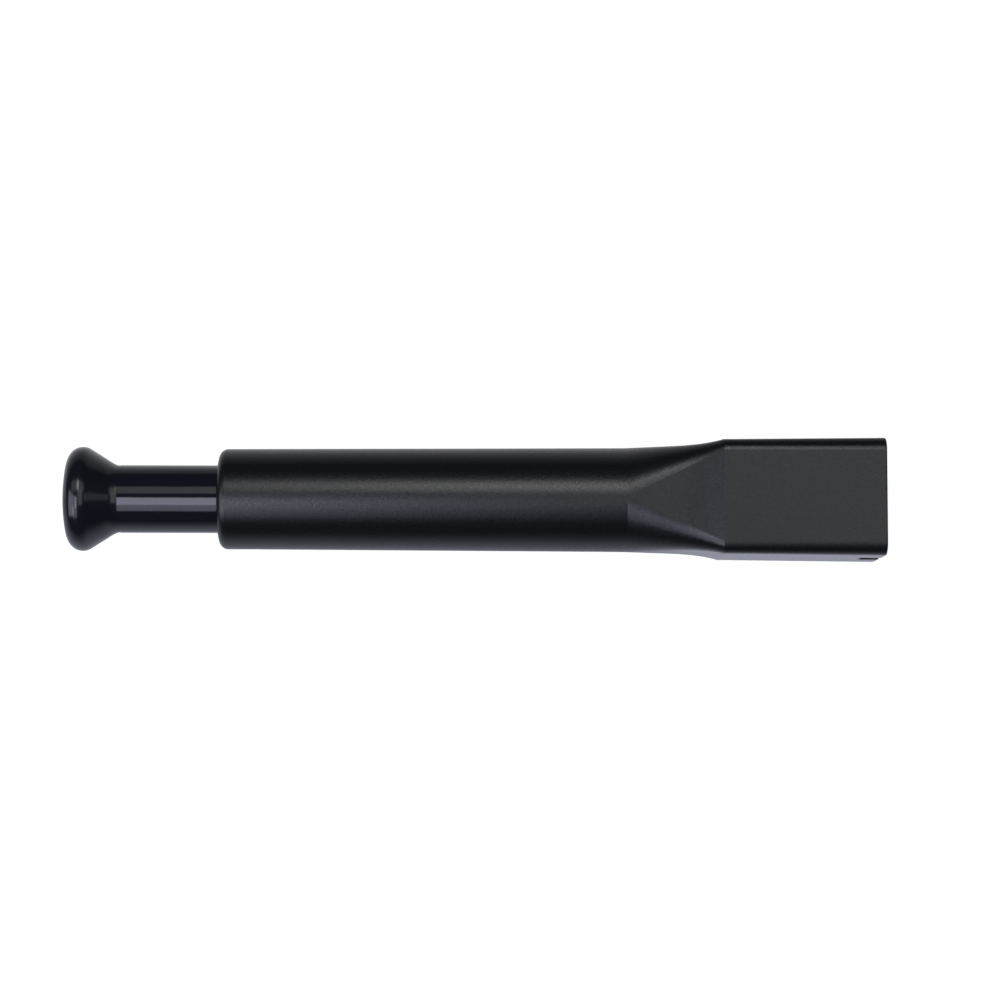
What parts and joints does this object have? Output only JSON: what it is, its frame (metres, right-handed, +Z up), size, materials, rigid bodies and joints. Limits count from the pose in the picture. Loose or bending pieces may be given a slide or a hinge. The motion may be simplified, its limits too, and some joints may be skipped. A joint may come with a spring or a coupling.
{
  "type": "keycap puller",
  "caption": "Push-over keycap puller: round black handle with a square gripping head, spring claws inside and a sprung plunger with a domed knob that ejects the cap.",
  "frame": {"origin": "on the surface that the tool lies on, under the middle of its length", "axes": "+X along the tool's axis from the knob to the mouth, +Z up from the surface, claws on the Y sides"},
  "size_m": [0.133, 0.019, 0.019],
  "materials": {
    "handle_plastic": "black ABS with a fine spark-eroded grain",
    "plunger_plastic": "polished black plastic",
    "carrier_plastic": "dark grey moulded nylon",
    "plate_plastic": "dark grey acetal",
    "claw_steel": "blackened spring steel",
    "spring_steel": "bright spring wire",
    "rod_steel": "ground steel rod",
    "zinc_steel": "bright zinc plate",
    "brass_fitting": "turned brass"
  },
  "bodies": {
    "handle": {"handle_shell": "handle_plastic", "claw_carrier": "carrier_plastic", "rod_bush": "brass_fitting", "spring_seat": "zinc_steel", "left_claw": "claw_steel", "right_claw": "claw_steel", "claw_screws": "zinc_steel", "carrier_screws": "zinc_steel", "return_spring": "spring_steel"},
    "plunger": {"knob": "plunger_plastic", "knob_insert": "brass_fitting", "plunger_stem": "plunger_plastic", "push_rod": "rod_steel", "stop_washer": "zinc_steel", "retaining_clip": "claw_steel", "ejector_plate": "plate_plastic", "ejector_screw": "zinc_steel"}
  },
  "joints": [
    {"name": "plunger_slide", "type": "slide", "parent": "handle", "child": "plunger", "axis": [1, 0, 0], "range_m": [0, 0.016], "stiffness_N_per_m": 300, "springref_m": -0.01, "deforming": ["return_spring"]}
  ]
}
